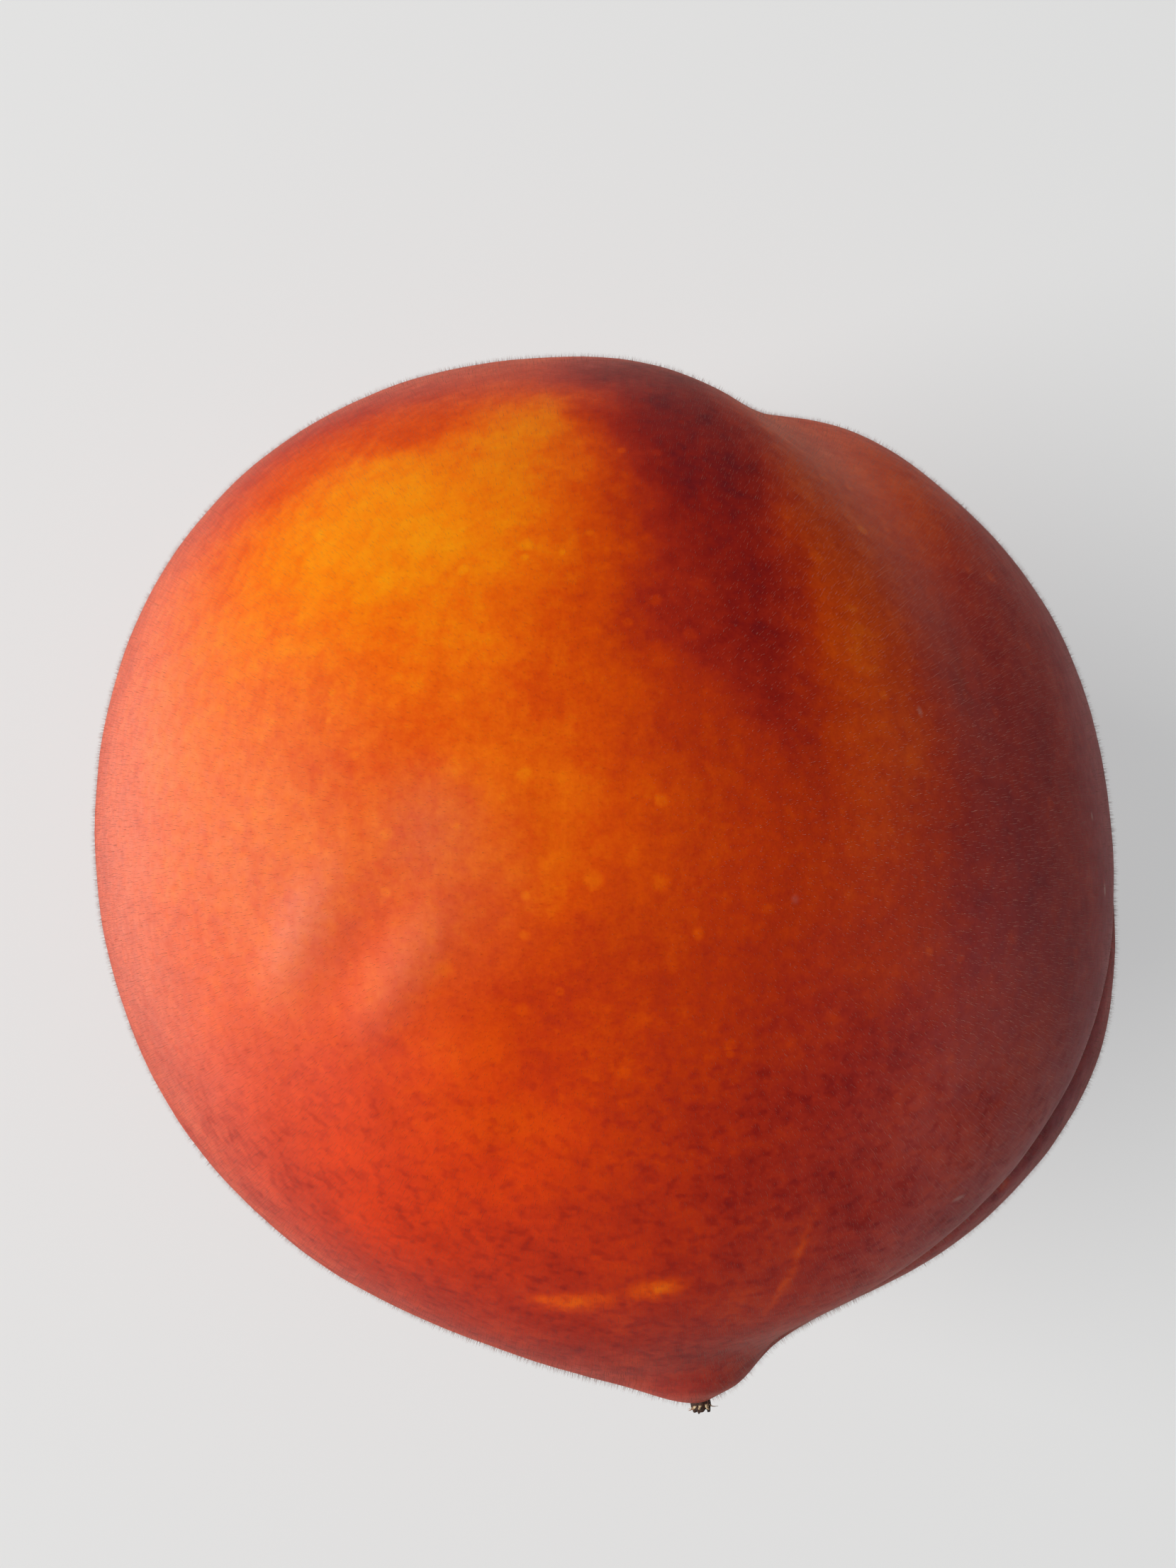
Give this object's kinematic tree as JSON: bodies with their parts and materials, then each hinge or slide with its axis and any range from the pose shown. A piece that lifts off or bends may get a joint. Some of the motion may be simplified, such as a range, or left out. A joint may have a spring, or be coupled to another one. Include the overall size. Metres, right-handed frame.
{
  "type": "peach",
  "caption": "Whole ripe peach lying on one cheek, with its suture, stem cavity, beaked tip and the dry remnant of the style.",
  "frame": {"origin": "on the flat spot that the fruit rests on, under its weight", "axes": "-Z out of the flat spot, -Y towards the beaked tip, +X towards the suture"},
  "size_m": [0.0778, 0.0772, 0.0726],
  "materials": {
    "skin": "downy matte skin, orange to wine red",
    "dry_husk": "dry and fibrous, dark brown"
  },
  "bodies": {
    "root": {"fruit": "skin", "dried_style": "dry_husk"}
  },
  "joints": []
}
